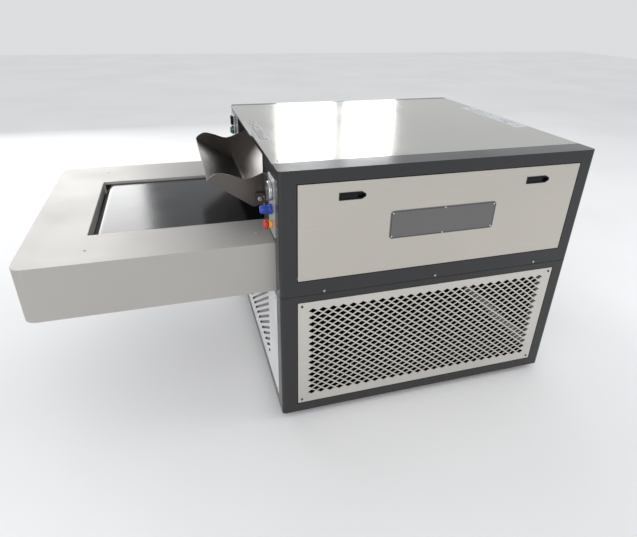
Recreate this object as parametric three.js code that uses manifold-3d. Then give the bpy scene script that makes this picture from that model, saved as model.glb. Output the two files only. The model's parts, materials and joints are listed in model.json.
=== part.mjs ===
// A pneumatic roll laminator. A sheet-metal cabinet stands on four feet, and a flat belt runs
// through it from an infeed table on the left to a tray on the right. Inside, two air cylinders
// lower a press roller on to the belt, and a worm gear motor drives the belt through a chain. A
// tilting V-shaped guard hangs over the infeed, and the upper front panel folds down on pivots.
//
// Millimetres. +X is the belt's travel, +Y goes from the front to the back, +Z is up. The pieces
// are laid out from the cabinet's front left bottom corner, and the whole machine is then moved
// so that its origin is the centre of its footprint, on the floor.

import * as THREE from 'three';
import { mergeVertices } from 'three/addons/utils/BufferGeometryUtils.js';
import Module from 'manifold-3d';

const wasm = await Module();
wasm.setup();

// ---------------------------------------------------------------- driving dimensions

const GAP = 0.3;                 // left between two pieces that touch
const SHEET = 2;                 // sheet-metal thickness
const ROUND_STEPS = 28;          // facets round a full circle
const FINE_STEPS = 20;           // facets round a small bore, pin or button

const CABINET = { width: 1100, depth: 1040, seam: 497, height: 918, corner: 12, wall: 30 };
const FOOT = { height: 25, radius: 30, inset: 70 };
const PANEL_GAP = 3;             // open line round each inset panel
const PANEL_FOLD = 16;           // depth of the edges folded back behind a panel
const SIDE_PANEL = { near: 63, far: 977 };
const FRONT_PANEL = { left: 58, right: 1047 };
const LOWER_PANEL = { bottom: 40, top: 470 };
const UPPER_PANEL = { bottom: 553, top: 874 };
const ROOF = { front: 82, back: 1010, lip: 8 };
const MOUTH = { near: 243, far: 825, bottom: 525, top: 903 };

const TABLE = { left: -748, near: 57, far: 1001, top: 672, corner: 38 };
const WELL = { left: -568, near: 251, far: 782, corner: 8 };

const BELT = { near: 257, far: 776, thickness: 2, clearance: 0.4, underside: 660 };
const RAIL = { left: -562, right: 1069, bottom: 530, top: 668, thickness: 5 };
const JOURNAL = { radius: 8, clearance: 0.4, boss: 20, bossLength: 5 };
const NOSE_ROLLER = { x: -526, radius: 30 };
const DRIVE_ROLLER = { x: 1035, radius: 50 };
const PRESS_ROLLER = { x: 330, radius: 50, gap: 1 };
const RETURN_ROLLER = { x: 200, z: 545, radius: 25 };

const PAN = { bottom: 2, top: 5 };
const DECK = { bottom: 503, top: 506 };
const BRIDGE = { left: 270, right: 390, near: 226, far: 807, plate: 12, beam: 840, beamTop: 850 };
const CARRIAGE = { left: 300, right: 360, bottom: 690, beam: 785, top: 800, cheek: 10 };
const CYLINDER = { radius: 25, top: 906, bore: 8.6, rod: 8, rodTop: 862, inset: 70 };

const CHAIN = { pitch: 12.7, near: 806, far: 814, driveTeeth: 22, motorTeeth: 12 };
const MOTOR = { x: 800, z: 560, near: 826, radius: 45 };

const GUARD = { near: 248, far: 820, pivotX: -12, pivotZ: 750, pin: 4 };
const GUARD_LIP = [-181.5, 824];
const GUARD_BEND = [-28.6, 717];
const GUARD_END = [90, 835];

const CONTROLS_Y = 94;           // column of controls on the left face, near the front
const GAUGE = { up: 831, radius: 30, depth: 11, dial: 4, window: 24 };
const REGULATOR = { up: 771, ring: 16.5, ringDepth: 11, knob: 13.5, grip: 19, length: 25 };
const ESTOP = { up: 720, collar: 12.5, collarDepth: 11, head: 16, stem: 8.3 };
const SWITCHES_Y = 978;          // column of switches on the left face, near the back
const ROCKER = { up: 860, half: 16, halfWidth: 10, seat: 10.5 };
const START = { up: 816, radius: 15, seat: 7, length: 10 };

// ---------------------------------------------------------------- finishes

function finish(color, roughness, metalness) {
  return () => new THREE.MeshStandardMaterial({ color, roughness, metalness });
}

const greyPaint = finish(0x404143, 0.55, 0.1);
const brushedSteel = finish(0xb2aca3, 0.35, 0.9);
const perforatedSteel = finish(0xc8c6be, 0.45, 0.7);
const whitePaint = finish(0xebebf0, 0.5, 0.05);
const beltRubber = finish(0x232326, 0.5, 0.0);
const turnedSteel = finish(0xa8abae, 0.25, 0.95);
const pressRubber = finish(0x2c2f33, 0.6, 0.0);
const blackPlastic = finish(0x18181a, 0.5, 0.0);
const anodised = finish(0xc2c4c6, 0.35, 0.85);
const platePrint = finish(0x78787a, 0.45, 0.4);
const bluePlastic = finish(0x1e41a0, 0.4, 0.0);
const redPlastic = finish(0xc8323c, 0.35, 0.0);
const yellowPlastic = finish(0xe1a046, 0.45, 0.0);
const greenPlastic = finish(0x145a46, 0.4, 0.0);
const clearGlass = finish(0xdfe8ea, 0.1, 0.0);
const dialRed = finish(0xb0202a, 0.5, 0.0);
const brass = finish(0xb08d4a, 0.35, 0.9);

// ---------------------------------------------------------------- solids

// Welds a geometry into one closed skin of positions, with its faces pointing out.
function welded(geometry) {
  const bare = geometry.index ? geometry.clone() : geometry;
  bare.deleteAttribute('normal');
  bare.deleteAttribute('uv');
  const skin = mergeVertices(bare);
  const corners = [];
  for (let i = 0; i < skin.index.count; i += 3) {
    const triple = [0, 1, 2].map((step) => skin.index.getX(i + step));
    if (new Set(triple).size === 3) corners.push(...triple);
  }
  if (volumeOf(skin, corners) < 0) corners.reverse();
  skin.setIndex(corners);
  return skin;
}

function volumeOf(skin, corners) {
  const [a, b, c] = [new THREE.Vector3(), new THREE.Vector3(), new THREE.Vector3()];
  let sum = 0;
  for (let i = 0; i < corners.length; i += 3) {
    a.fromBufferAttribute(skin.attributes.position, corners[i]);
    b.fromBufferAttribute(skin.attributes.position, corners[i + 1]);
    c.fromBufferAttribute(skin.attributes.position, corners[i + 2]);
    sum += a.dot(b.cross(c)) / 6;
  }
  return sum;
}

function toManifold(geometry) {
  const skin = welded(geometry);
  return new wasm.Manifold(new wasm.Mesh({
    numProp: 3,
    vertProperties: new Float32Array(skin.attributes.position.array),
    triVerts: new Uint32Array(skin.index.array),
  }));
}

function fromManifold(manifold) {
  const { vertProperties, triVerts } = manifold.getMesh();
  const geometry = new THREE.BufferGeometry();
  geometry.setAttribute('position', new THREE.BufferAttribute(new Float32Array(vertProperties), 3));
  geometry.setIndex(new THREE.BufferAttribute(new Uint32Array(triVerts), 1));
  return geometry;
}

function join(...pieces) {
  return fromManifold(pieces.map(toManifold).reduce((all, next) => all.add(next)));
}

function cut(base, ...tools) {
  return fromManifold(tools.map(toManifold).reduce((rest, tool) => rest.subtract(tool), toManifold(base)));
}

// A box from its low and high edges along X, Y and Z.
function block([x0, x1], [y0, y1], [z0, z1]) {
  const box = new THREE.BoxGeometry(x1 - x0, y1 - y0, z1 - z0);
  return box.translate((x0 + x1) / 2, (y0 + y1) / 2, (z0 + z1) / 2);
}

// The three extrusions take a shape in XY, XZ or YZ and run it from low to high.
function alongZ(shape, low, high) {
  return extruded(shape, high - low).translate(0, 0, low);
}

function alongY(shape, low, high) {
  return extruded(shape, high - low).rotateX(Math.PI / 2).translate(0, high, 0);
}

function alongX(shape, low, high) {
  const turn = new THREE.Matrix4().set(0, 0, 1, 0, 1, 0, 0, 0, 0, 1, 0, 0, 0, 0, 0, 1);
  return extruded(shape, high - low).applyMatrix4(turn).translate(low, 0, 0);
}

function extruded(shape, depth) {
  return new THREE.ExtrudeGeometry(shape, { depth, bevelEnabled: false, curveSegments: 6 });
}

// A turned piece about Z, from pairs of radius and height that start and end on the axis.
function turned(profile, steps = ROUND_STEPS) {
  const points = profile.map(([radius, height]) => new THREE.Vector2(radius, height));
  return new THREE.LatheGeometry(points, steps).rotateX(Math.PI / 2);
}

function rod(radius, low, high, steps = ROUND_STEPS) {
  return turned([[0, low], [radius, low], [radius, high], [0, high]], steps);
}

// The same rod lying along Y, with its axis at x and z.
function crossRod(radius, [x, z], low, high, steps = ROUND_STEPS) {
  return rod(radius, -high, -low, steps).rotateX(Math.PI / 2).translate(x, 0, z);
}

function outline(points) {
  return new THREE.Shape(points.map(([u, v]) => new THREE.Vector2(u, v)));
}

function rectangle(u0, u1, v0, v1) {
  return outline([[u0, v0], [u1, v0], [u1, v1], [u0, v1]]);
}

// A rectangle with a radius for each corner, from low-low round to low-high.
function roundedRectangle(u0, u1, v0, v1, radii) {
  const [a, b, c, d] = Array.isArray(radii) ? radii : [radii, radii, radii, radii];
  const quarter = Math.PI / 2;
  const shape = new THREE.Shape();
  shape.moveTo(u0 + a, v0);
  shape.lineTo(u1 - b, v0);
  if (b) shape.absarc(u1 - b, v0 + b, b, -quarter, 0);
  shape.lineTo(u1, v1 - c);
  if (c) shape.absarc(u1 - c, v1 - c, c, 0, quarter);
  shape.lineTo(u0 + d, v1);
  if (d) shape.absarc(u0 + d, v1 - d, d, quarter, 2 * quarter);
  shape.lineTo(u0, v0 + a);
  if (a) shape.absarc(u0 + a, v0 + a, a, 2 * quarter, 3 * quarter);
  return shape;
}

// The line through the given points, thickened to its left as bent sheet metal is.
function bentSheet(points, thickness) {
  const sides = points.slice(1).map((point, i) => {
    const along = [point[0] - points[i][0], point[1] - points[i][1]];
    const length = Math.hypot(...along);
    return [-along[1] / length, along[0] / length];
  });
  const shifted = points.map((point, i) => {
    const before = sides[Math.max(i - 1, 0)];
    const after = sides[Math.min(i, sides.length - 1)];
    const middle = [before[0] + after[0], before[1] + after[1]];
    const scale = 2 * thickness / (middle[0] ** 2 + middle[1] ** 2);
    return [point[0] + middle[0] * scale, point[1] + middle[1] * scale];
  });
  return outline([...points, ...shifted.reverse()]);
}

// The outline of a band wrapped round circles, which are listed anticlockwise.
function wrapped(circles, offset) {
  const grown = circles.map(({ x, z, radius }) => ({ x, z, radius: radius + offset }));
  const touch = grown.map((circle, i) => {
    const next = grown[(i + 1) % grown.length];
    const heading = Math.atan2(next.z - circle.z, next.x - circle.x);
    const span = Math.hypot(next.x - circle.x, next.z - circle.z);
    return heading - Math.acos((circle.radius - next.radius) / span);
  });
  const steps = 16;
  return grown.flatMap(({ x, z, radius }, i) => {
    const start = touch[(i + grown.length - 1) % grown.length];
    const turn = (touch[i] - start + 4 * Math.PI) % (2 * Math.PI);
    return Array.from({ length: steps + 1 }, (_, k) => {
      const angle = start + turn * k / steps;
      return [x + radius * Math.cos(angle), z + radius * Math.sin(angle)];
    });
  });
}

function loop(circles, inside, outside, low, high) {
  const band = outline(wrapped(circles, outside));
  band.holes.push(outline(wrapped(circles, inside)));
  return alongY(band, low, high);
}

// A flat panel with its four edges folded back; `open` is the side that the folds point to.
function foldedPanel(ranges, open) {
  const axis = 'xyz'.indexOf(open[1]);
  const inner = ranges.map(([low, high]) => [low + SHEET, high - SHEET]);
  const [low, high] = ranges[axis];
  inner[axis] = open[0] === '+' ? [low + SHEET, high + SHEET] : [low - SHEET, high - SHEET];
  return cut(block(...ranges), block(...inner));
}

// Sloping ventilation slots in a YZ or XZ face: rows of parallelograms inside a rectangle.
function slopingSlots({ start, end, bottom, top }, extrude, low, high) {
  const slope = 0.69;
  const pitch = 27;
  const width = 13;
  const slots = [];
  for (let lift = bottom + width; lift < top + (end - start) * slope; lift += pitch) {
    const from = Math.max(start, start + (lift - top) / slope);
    const to = Math.min(end, start + (lift - width - bottom) / slope);
    if (to - from < 2 * width) continue;
    const height = (u) => lift - (u - start) * slope;
    const lower = [[from, height(from) - width], [to, height(to) - width]];
    const corners = [...lower, [to, height(to)], [from, height(from)]];
    slots.push(extrude(outline(corners), low, high));
  }
  return slots;
}

// ---------------------------------------------------------------- cabinet

const machine = new THREE.Group();

function place(name, geometry, material, parent = machine) {
  const mesh = new THREE.Mesh(welded(geometry), material());
  mesh.name = name;
  parent.add(mesh);
  return mesh;
}

const { width, depth, seam, height, wall } = CABINET;

function cabinetRing(bottom, top) {
  const ring = roundedRectangle(0, width, 0, depth, CABINET.corner);
  ring.holes.push(rectangle(wall, width - wall, wall, depth - wall));
  return alongZ(ring, bottom, top);
}

// Cutters for the four windows that the panels of one storey sit in.
function windows({ bottom, top }) {
  const rows = [bottom - PANEL_GAP, top + PANEL_GAP];
  const across = [FRONT_PANEL.left - PANEL_GAP, FRONT_PANEL.right + PANEL_GAP];
  const deep = [SIDE_PANEL.near - PANEL_GAP, SIDE_PANEL.far + PANEL_GAP];
  return {
    front: block(across, [-1, wall + 1], rows),
    back: block(across, [depth - wall - 1, depth + 1], rows),
    left: block([-1, wall + 1], deep, rows),
    right: block([width - wall - 1, width + 1], deep, rows),
  };
}

function baseFrame() {
  return cut(cabinetRing(0, seam - GAP), ...Object.values(windows(LOWER_PANEL)));
}

// Pivots of the fold-down front panel, as seen in the YZ plane.
const FOLD = { y: 6, z: 562, pin: 2.5, hole: 3, length: 8 };

function pivotPin(radius, low, high) {
  return rod(radius, low, high, FINE_STEPS).rotateY(Math.PI / 2).translate(0, FOLD.y, FOLD.z);
}

function upperFrame() {
  const flange = block([wall - 1, width - wall + 1], [wall - 1, ROOF.front - GAP], [height - 4, height]);
  const opening = windows(UPPER_PANEL);
  const holes = [
    pivotPin(FOLD.hole, FRONT_PANEL.left - FOLD.length - 2, FRONT_PANEL.left),
    pivotPin(FOLD.hole, FRONT_PANEL.right, FRONT_PANEL.right + FOLD.length + 2),
  ];
  return cut(
    join(cabinetRing(seam, height), flange),
    opening.front,
    opening.back,
    opening.right,
    block([-1, wall + 1], [MOUTH.near, MOUTH.far], [MOUTH.bottom, MOUTH.top]),
    block([-1, width + 1], [ROOF.front - GAP, ROOF.back], [height - ROOF.lip - GAP, height + 1]),
    ...holes,
  );
}

function roofSheet() {
  const span = [ROOF.front, ROOF.back - GAP];
  const under = block([SHEET, width - SHEET], [0, depth], [height - ROOF.lip - 1, height - SHEET]);
  return cut(block([0, width], span, [height - ROOF.lip, height]), under);
}

function floorPlate(bottom, top) {
  const inside = wall + GAP;
  return block([inside, width - inside], [inside, depth - inside], [bottom, top]);
}

function foot() {
  const neck = 10;
  const flange = 25;
  const profile = [[0, 0], [FOOT.radius, 0], [FOOT.radius, 8], [neck, 13], [neck, 20]];
  return turned([...profile, [flange, 20], [flange, FOOT.height + 1.6], [0, FOOT.height + 1.6]], FINE_STEPS);
}

place('base_frame', baseFrame(), greyPaint);
place('upper_frame', upperFrame(), greyPaint);
place('base_pan', floorPlate(PAN.bottom, PAN.top), greyPaint);
place('machine_deck', floorPlate(DECK.bottom, DECK.top), greyPaint);
place('top_cover', roofSheet(), brushedSteel);

const corners = { front_left: [0, 0], front_right: [1, 0], back_left: [0, 1], back_right: [1, 1] };
for (const [corner, [right, back]] of Object.entries(corners)) {
  const mesh = place(`foot_${corner}`, foot(), blackPlastic);
  const x = right ? width - FOOT.inset : FOOT.inset;
  const y = back ? depth - FOOT.inset : FOOT.inset;
  mesh.position.set(x, y, -FOOT.height);
}

// ---------------------------------------------------------------- panels

const lowerRows = [LOWER_PANEL.bottom, LOWER_PANEL.top];
const upperRows = [UPPER_PANEL.bottom, UPPER_PANEL.top];
const frontSpan = [FRONT_PANEL.left, FRONT_PANEL.right];
const sideSpan = [SIDE_PANEL.near, SIDE_PANEL.far];

function louvredSide(low, high, open) {
  const area = { start: 215, end: 825, bottom: 96, top: 414 };
  const slots = slopingSlots(area, alongX, low - 1, high + 1);
  return cut(foldedPanel([[low, high], sideSpan, lowerRows], open), ...slots);
}

function rearVent() {
  const area = { start: 250, end: 850, bottom: 150, top: 360 };
  const slots = slopingSlots(area, alongY, depth - PANEL_FOLD - 1, depth + 1);
  return cut(foldedPanel([frontSpan, [depth - PANEL_FOLD, depth], lowerRows], '-y'), ...slots);
}

// The right-hand panel has the slot that the work leaves through.
function outfeedPanel() {
  const folded = foldedPanel([[width - PANEL_FOLD, width], sideSpan, upperRows], '-x');
  const slot = block([width - wall, width + 1], [WELL.near - 5, WELL.far + 5], [645, 735]);
  return cut(folded, slot);
}

place('front_vent_grille', foldedPanel([frontSpan, [0, PANEL_FOLD], lowerRows], '+y'), perforatedSteel);
place('left_louvre_panel', louvredSide(0, PANEL_FOLD, '+x'), whitePaint);
place('right_louvre_panel', louvredSide(width - PANEL_FOLD, width, '-x'), whitePaint);
place('rear_vent_panel', rearVent(), whitePaint);
const rearUpper = [frontSpan, [depth - PANEL_FOLD, depth], upperRows];
place('rear_upper_panel', foldedPanel(rearUpper, '-y'), brushedSteel);
place('outfeed_panel', outfeedPanel(), brushedSteel);

// ---------------------------------------------------------------- fold-down front panel

const LATCH = { length: 73, nose: 13, bottom: 816, top: 840, flange: 2, depth: 12, rim: 3 };
const LATCH_LEFTS = { left: 185, right: 844.5 };

function latchOutline(left, grow) {
  const right = left + LATCH.length;
  const middle = (LATCH.bottom + LATCH.top) / 2;
  const blunt = 4;
  return outline([
    [left - grow, LATCH.bottom - grow],
    [right + grow / 2, LATCH.bottom - grow],
    [right + LATCH.nose + grow, middle - blunt],
    [right + LATCH.nose + grow, middle + blunt],
    [right + grow / 2, LATCH.top + grow],
    [left - grow, LATCH.top + grow],
  ]);
}

function frontAccessPanel() {
  const panel = foldedPanel([frontSpan, [0, PANEL_FOLD], upperRows], '+y');
  const pins = [
    pivotPin(FOLD.pin, FRONT_PANEL.left - FOLD.length, FRONT_PANEL.left + 1),
    pivotPin(FOLD.pin, FRONT_PANEL.right - 1, FRONT_PANEL.right + FOLD.length),
  ];
  const holes = Object.values(LATCH_LEFTS).map((left) => alongY(latchOutline(left, -LATCH.rim + 1), -1, 3));
  return cut(join(panel, ...pins), ...holes);
}

// A flush cup with a rim on the panel's face and a body behind it.
function latchHousing(left) {
  const rim = alongY(latchOutline(left, 0), -GAP - LATCH.flange, -GAP);
  const body = alongY(latchOutline(left, -LATCH.rim), -GAP - 1, LATCH.depth);
  const pocket = alongY(latchOutline(left, -LATCH.rim - 1.5), -GAP - LATCH.flange - 1, LATCH.depth - 2);
  return cut(join(rim, body), pocket);
}

// The paddle fills the left of the cup and swings out about a pin at its left end.
function latchPaddle(left) {
  const inner = LATCH.rim + 2.5;
  const bottom = LATCH.bottom + inner;
  const top = LATCH.top - inner;
  return block([left + inner, left + LATCH.length - 14], [-1.5, 1.5], [bottom, top]);
}

function nameplate() {
  const [left, right, bottom, top, chamfer] = [360, 741, 669, 765, 7];
  const plate = outline([
    [left + chamfer, bottom], [right - chamfer, bottom], [right, bottom + chamfer], [right, top - chamfer],
    [right - chamfer, top], [left + chamfer, top], [left, top - chamfer], [left, bottom + chamfer],
  ]);
  return alongY(plate, -GAP - 1.5, -GAP);
}

place('front_access_panel', frontAccessPanel(), brushedSteel);
place('nameplate', nameplate(), platePrint);
for (const [side, left] of Object.entries(LATCH_LEFTS)) {
  place(`latch_housing_${side}`, latchHousing(left), blackPlastic);
  place(`latch_paddle_${side}`, latchPaddle(left), blackPlastic);
}

// ---------------------------------------------------------------- infeed table

function infeedTable() {
  const plan = (inset) => {
    const round = TABLE.corner - inset;
    const edges = [TABLE.left + inset, -GAP - inset, TABLE.near + inset, TABLE.far - inset];
    return roundedRectangle(...edges, [round, 0, 0, round]);
  };
  const well = roundedRectangle(WELL.left, 10, WELL.near, WELL.far, [WELL.corner, 0, 0, WELL.corner]);
  const rails = [WELL.near - RAIL.thickness - 3, WELL.far + RAIL.thickness + 3];
  return cut(
    alongZ(plan(0), seam, TABLE.top),
    alongZ(plan(SHEET), seam - 1, TABLE.top - SHEET),
    alongZ(well, TABLE.top - SHEET - 1, TABLE.top + 1),
    block([-10, 10], rails, [MOUTH.bottom - 3, TABLE.top - SHEET]),
  );
}

place('infeed_table', infeedTable(), brushedSteel);

// ---------------------------------------------------------------- conveyor

function underBelt({ x, radius }) {
  return { x, z: BELT.underside - radius, radius };
}

const lowerPress = { ...underBelt(PRESS_ROLLER), z: BELT.underside - PRESS_ROLLER.radius - GAP };
const beltRollers = [RETURN_ROLLER, underBelt(DRIVE_ROLLER), underBelt(NOSE_ROLLER)];
const beltTop = BELT.underside + BELT.clearance + BELT.thickness;

function sideRail(near, bossNear) {
  const far = near + RAIL.thickness;
  const plate = block([RAIL.left, RAIL.right], [near, far], [RAIL.bottom, RAIL.top]);
  const axles = [...beltRollers, lowerPress];
  const bossSize = (z) => Math.min(JOURNAL.boss, RAIL.top - z, z - RAIL.bottom);
  const bosses = axles.map(({ x, z }) => {
    return crossRod(bossSize(z), [x, z], bossNear, bossNear + JOURNAL.bossLength + 1, FINE_STEPS);
  });
  const bore = JOURNAL.radius + JOURNAL.clearance;
  const bores = axles.map(({ x, z }) => crossRod(bore, [x, z], near - 10, far + 10, FINE_STEPS));
  return cut(join(plate, ...bosses), ...bores);
}

// A roller about Y, with a chamfered body between two journals.
function roller(radius, [near, far], [journalNear, journalFar]) {
  const edge = 2;
  const { radius: neck } = JOURNAL;
  const profile = [
    [0, journalNear], [neck, journalNear], [neck, near], [radius - edge, near], [radius, near + edge],
    [radius, far - edge], [radius - edge, far], [neck, far], [neck, journalFar], [0, journalFar],
  ];
  return new THREE.LatheGeometry(profile.map(([r, y]) => new THREE.Vector2(r, y)), ROUND_STEPS);
}

const frontRailNear = WELL.near - RAIL.thickness;
const rearRailNear = WELL.far;
const frontBoss = frontRailNear - JOURNAL.bossLength;
const rearBoss = rearRailNear + RAIL.thickness - 1;
const beltWidth = [BELT.near, BELT.far];
const journals = [frontBoss + GAP, rearBoss + JOURNAL.bossLength];

place('conveyor_rail_front', sideRail(frontRailNear, frontBoss), greyPaint);
place('conveyor_rail_rear', sideRail(rearRailNear, rearBoss), greyPaint);

function sliderBed() {
  const across = [WELL.near + GAP, WELL.far - GAP];
  const left = NOSE_ROLLER.x + NOSE_ROLLER.radius + 6;
  const right = DRIVE_ROLLER.x - DRIVE_ROLLER.radius - 10;
  const middle = PRESS_ROLLER.x;
  const clear = PRESS_ROLLER.radius + 15;
  const bed = block([left, right], across, [BELT.underside - 5, BELT.underside]);
  const skirts = [across[0], across[1] - SHEET].map((near) => {
    return block([left, right], [near, near + SHEET], [BELT.underside - 30, BELT.underside]);
  });
  const rollerGap = block([middle - clear, middle + clear], [BELT.near - 3, BELT.far + 3], [600, 700]);
  return cut(join(bed, ...skirts), rollerGap);
}

place('slider_bed', sliderBed(), turnedSteel);
const band = [BELT.clearance, BELT.clearance + BELT.thickness];
place('conveyor_belt', loop(beltRollers, ...band, ...beltWidth), beltRubber);

function placeRoller(name, { x, z, radius }, material, ends = journals) {
  place(name, roller(radius, beltWidth, ends), material).position.set(x, 0, z);
}

placeRoller('nose_roller', underBelt(NOSE_ROLLER), turnedSteel);
placeRoller('return_roller', RETURN_ROLLER, turnedSteel);
placeRoller('lower_press_roller', lowerPress, turnedSteel);
const sprocketJournal = [frontBoss + GAP, CHAIN.near - GAP];
placeRoller('drive_roller', underBelt(DRIVE_ROLLER), turnedSteel, sprocketJournal);

// ---------------------------------------------------------------- press

const upperPress = { x: PRESS_ROLLER.x, z: beltTop + PRESS_ROLLER.gap + PRESS_ROLLER.radius };
const rodYs = { front: BELT.near + CYLINDER.inset, rear: BELT.far - CYLINDER.inset };

function uprightRod(radius, y, low, high) {
  return rod(radius, low, high, FINE_STEPS).translate(PRESS_ROLLER.x, y, 0);
}

function pressBridge() {
  const { left, right, near, far, plate, beam, beamTop } = BRIDGE;
  const standing = [DECK.top + GAP, beamTop];
  const portal = join(
    block([left, right], [near, near + plate], standing),
    block([left, right], [far - plate, far], standing),
    block([left + 10, right - 10], [near + 1, far - 1], [beam, beamTop]),
  );
  return cut(portal, ...Object.values(rodYs).map((y) => uprightRod(CYLINDER.bore, y, beam - 1, beamTop + 1)));
}

// The yoke over the upper roller: a beam, two cheeks and the lugs that run along the bridge.
function pressCarriage() {
  const { left, right, bottom, beam, top, cheek } = CARRIAGE;
  const near = frontRailNear;
  const far = rearRailNear + RAIL.thickness;
  const lug = [[left + 15, right - 15], [bottom + 10, top - 20]];
  const lugReach = 7;
  const yoke = join(
    block([left, right], [near, near + cheek], [bottom, top]),
    block([left, right], [far - cheek, far], [bottom, top]),
    block([left, right], [near, far], [beam, top]),
    block(lug[0], [near - lugReach, near + 1], lug[1]),
    block(lug[0], [far - 1, far + lugReach], lug[1]),
  );
  const bore = JOURNAL.radius + JOURNAL.clearance;
  return cut(yoke, crossRod(bore, [upperPress.x, upperPress.z], near - 20, far + 20, FINE_STEPS));
}

function pressCylinder() {
  const { radius, top, bore } = CYLINDER;
  const low = BRIDGE.beamTop + GAP;
  const cap = 8;
  return turned([
    [0, top - cap], [bore, top - cap], [bore, low], [radius + 4, low], [radius + 4, low + cap],
    [radius, low + cap], [radius, top - cap], [radius + 4, top - cap], [radius + 4, top], [0, top],
  ]);
}

place('press_bridge', pressBridge(), greyPaint);
place('press_carriage', pressCarriage(), greyPaint);
const rollerEnds = [frontRailNear + 1, rearRailNear + RAIL.thickness - 1];
const pressBody = [BELT.near + 5, BELT.far - 5];
const pressRoller = roller(PRESS_ROLLER.radius, pressBody, rollerEnds);
const pressRoll = place('upper_press_roller', pressRoller, pressRubber);
pressRoll.position.set(upperPress.x, 0, upperPress.z);
for (const [side, y] of Object.entries(rodYs)) {
  place(`press_cylinder_${side}`, pressCylinder(), anodised).position.set(PRESS_ROLLER.x, y, 0);
  const shaft = rod(CYLINDER.rod, CARRIAGE.top + GAP, CYLINDER.rodTop, FINE_STEPS);
  place(`cylinder_rod_${side}`, shaft, turnedSteel).position.set(PRESS_ROLLER.x, y, 0);
}

// ---------------------------------------------------------------- drive

function pitchRadius(teeth) {
  return CHAIN.pitch / (2 * Math.sin(Math.PI / teeth));
}

// A toothed wheel in XZ with blunt teeth, four points to a tooth.
function toothedWheel(teeth) {
  const tip = pitchRadius(teeth) + 3;
  const root = pitchRadius(teeth) - 4;
  const points = [];
  for (let tooth = 0; tooth < teeth; tooth += 1) {
    for (const [share, radius] of [[0, root], [0.3, root], [0.55, tip], [0.75, tip]]) {
      const angle = (tooth + share) * 2 * Math.PI / teeth;
      points.push([radius * Math.cos(angle), radius * Math.sin(angle)]);
    }
  }
  return alongY(outline(points), CHAIN.near, CHAIN.far);
}

function motorSprocket() {
  const shaft = crossRod(9, [0, 0], CHAIN.near - 4, MOTOR.near - GAP, FINE_STEPS);
  return join(toothedWheel(CHAIN.motorTeeth), shaft);
}

// A worm gearbox on the deck with its motor lying towards the infeed, fan cowl at the end.
function gearMotor() {
  const { x, z, near, radius } = MOTOR;
  const floor = DECK.top + GAP;
  const depthY = 80;
  const centre = near + depthY / 2;
  const gearbox = block([x - 55, x + 55], [near, near + depthY], [floor, z + 54]);
  const barrel = rod(radius, 0, 190).rotateY(-Math.PI / 2).translate(x - 50, centre, z);
  const cowl = rod(radius + 4, 190, 240).rotateY(-Math.PI / 2).translate(x - 50, centre, z);
  const terminals = block([x - 190, x - 110], [centre - 35, centre + 35], [z + 30, z + 80]);
  return join(gearbox, barrel, cowl, terminals);
}

const driveCentre = underBelt(DRIVE_ROLLER);
const chainWheels = [
  { x: MOTOR.x, z: MOTOR.z, radius: pitchRadius(CHAIN.motorTeeth) },
  { x: driveCentre.x, z: driveCentre.z, radius: pitchRadius(CHAIN.driveTeeth) },
];
const driveWheel = place('drive_sprocket', toothedWheel(CHAIN.driveTeeth), turnedSteel);
driveWheel.position.set(driveCentre.x, 0, driveCentre.z);
place('motor_sprocket', motorSprocket(), turnedSteel).position.set(MOTOR.x, 0, MOTOR.z);
place('drive_chain', loop(chainWheels, 4, 9, CHAIN.near, CHAIN.far), turnedSteel);
place('gear_motor', gearMotor(), greyPaint);
const boxRanges = [[70, 360], [700, 960], [PAN.top + GAP, 380]];
place('electrical_box', foldedPanel(boxRanges, '+y'), whitePaint);

// ---------------------------------------------------------------- infeed guard

function guardTrough() {
  const towards = ([x0, z0], [x1, z1], reach) => {
    const length = Math.hypot(x1 - x0, z1 - z0);
    return [x0 + (x1 - x0) * reach / length, z0 + (z1 - z0) * reach / length];
  };
  const bend = 16;
  const line = new THREE.Path();
  line.moveTo(...GUARD_LIP);
  line.lineTo(...towards(GUARD_BEND, GUARD_LIP, bend));
  line.quadraticCurveTo(...GUARD_BEND, ...towards(GUARD_BEND, GUARD_END, bend));
  line.lineTo(...GUARD_END);
  return line.getPoints(6).map(({ x, y }) => [x, y]);
}

// One end cheek: the trough's underside below and a waved edge above.
function guardCheek(trough, low, high) {
  const wave = new THREE.SplineCurve([
    [GUARD_END[0], 852], [31, 852], [1, 839], [-54, 821], [-100, 836], [-141, 847], [-168, 838], GUARD_LIP,
  ].map(([x, z]) => new THREE.Vector2(x, z)));
  const edge = wave.getPoints(21).slice(0, -1).map(({ x, y }) => [x, y]);
  return alongY(outline([...trough, ...edge]), low, high);
}

function safetyGuard() {
  const trough = guardTrough();
  const { near, far, pivotX, pivotZ, pin } = GUARD;
  const pinReach = 12;
  return join(
    alongY(bentSheet(trough, SHEET), near + 1, far - 1),
    guardCheek(trough, near, near + SHEET),
    guardCheek(trough, far - SHEET, far),
    crossRod(pin, [pivotX, pivotZ], near - pinReach, near + 1, FINE_STEPS),
    crossRod(pin, [pivotX, pivotZ], far - 1, far + pinReach, FINE_STEPS),
  );
}

// An angle bracket on the cabinet's left face, with an ear for the guard's pin.
function guardBracket(earNear, wing) {
  const { pivotX, pivotZ, pin } = GUARD;
  const ear = 3;
  const rows = [pivotZ - 22, pivotZ + 22];
  const angle = join(
    block([pivotX - 14, -GAP], [earNear, earNear + ear], rows),
    block([-GAP - SHEET, -GAP], wing, rows),
  );
  return cut(angle, crossRod(pin + 0.5, [pivotX, pivotZ], earNear - 1, earNear + ear + 1, FINE_STEPS));
}

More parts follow.
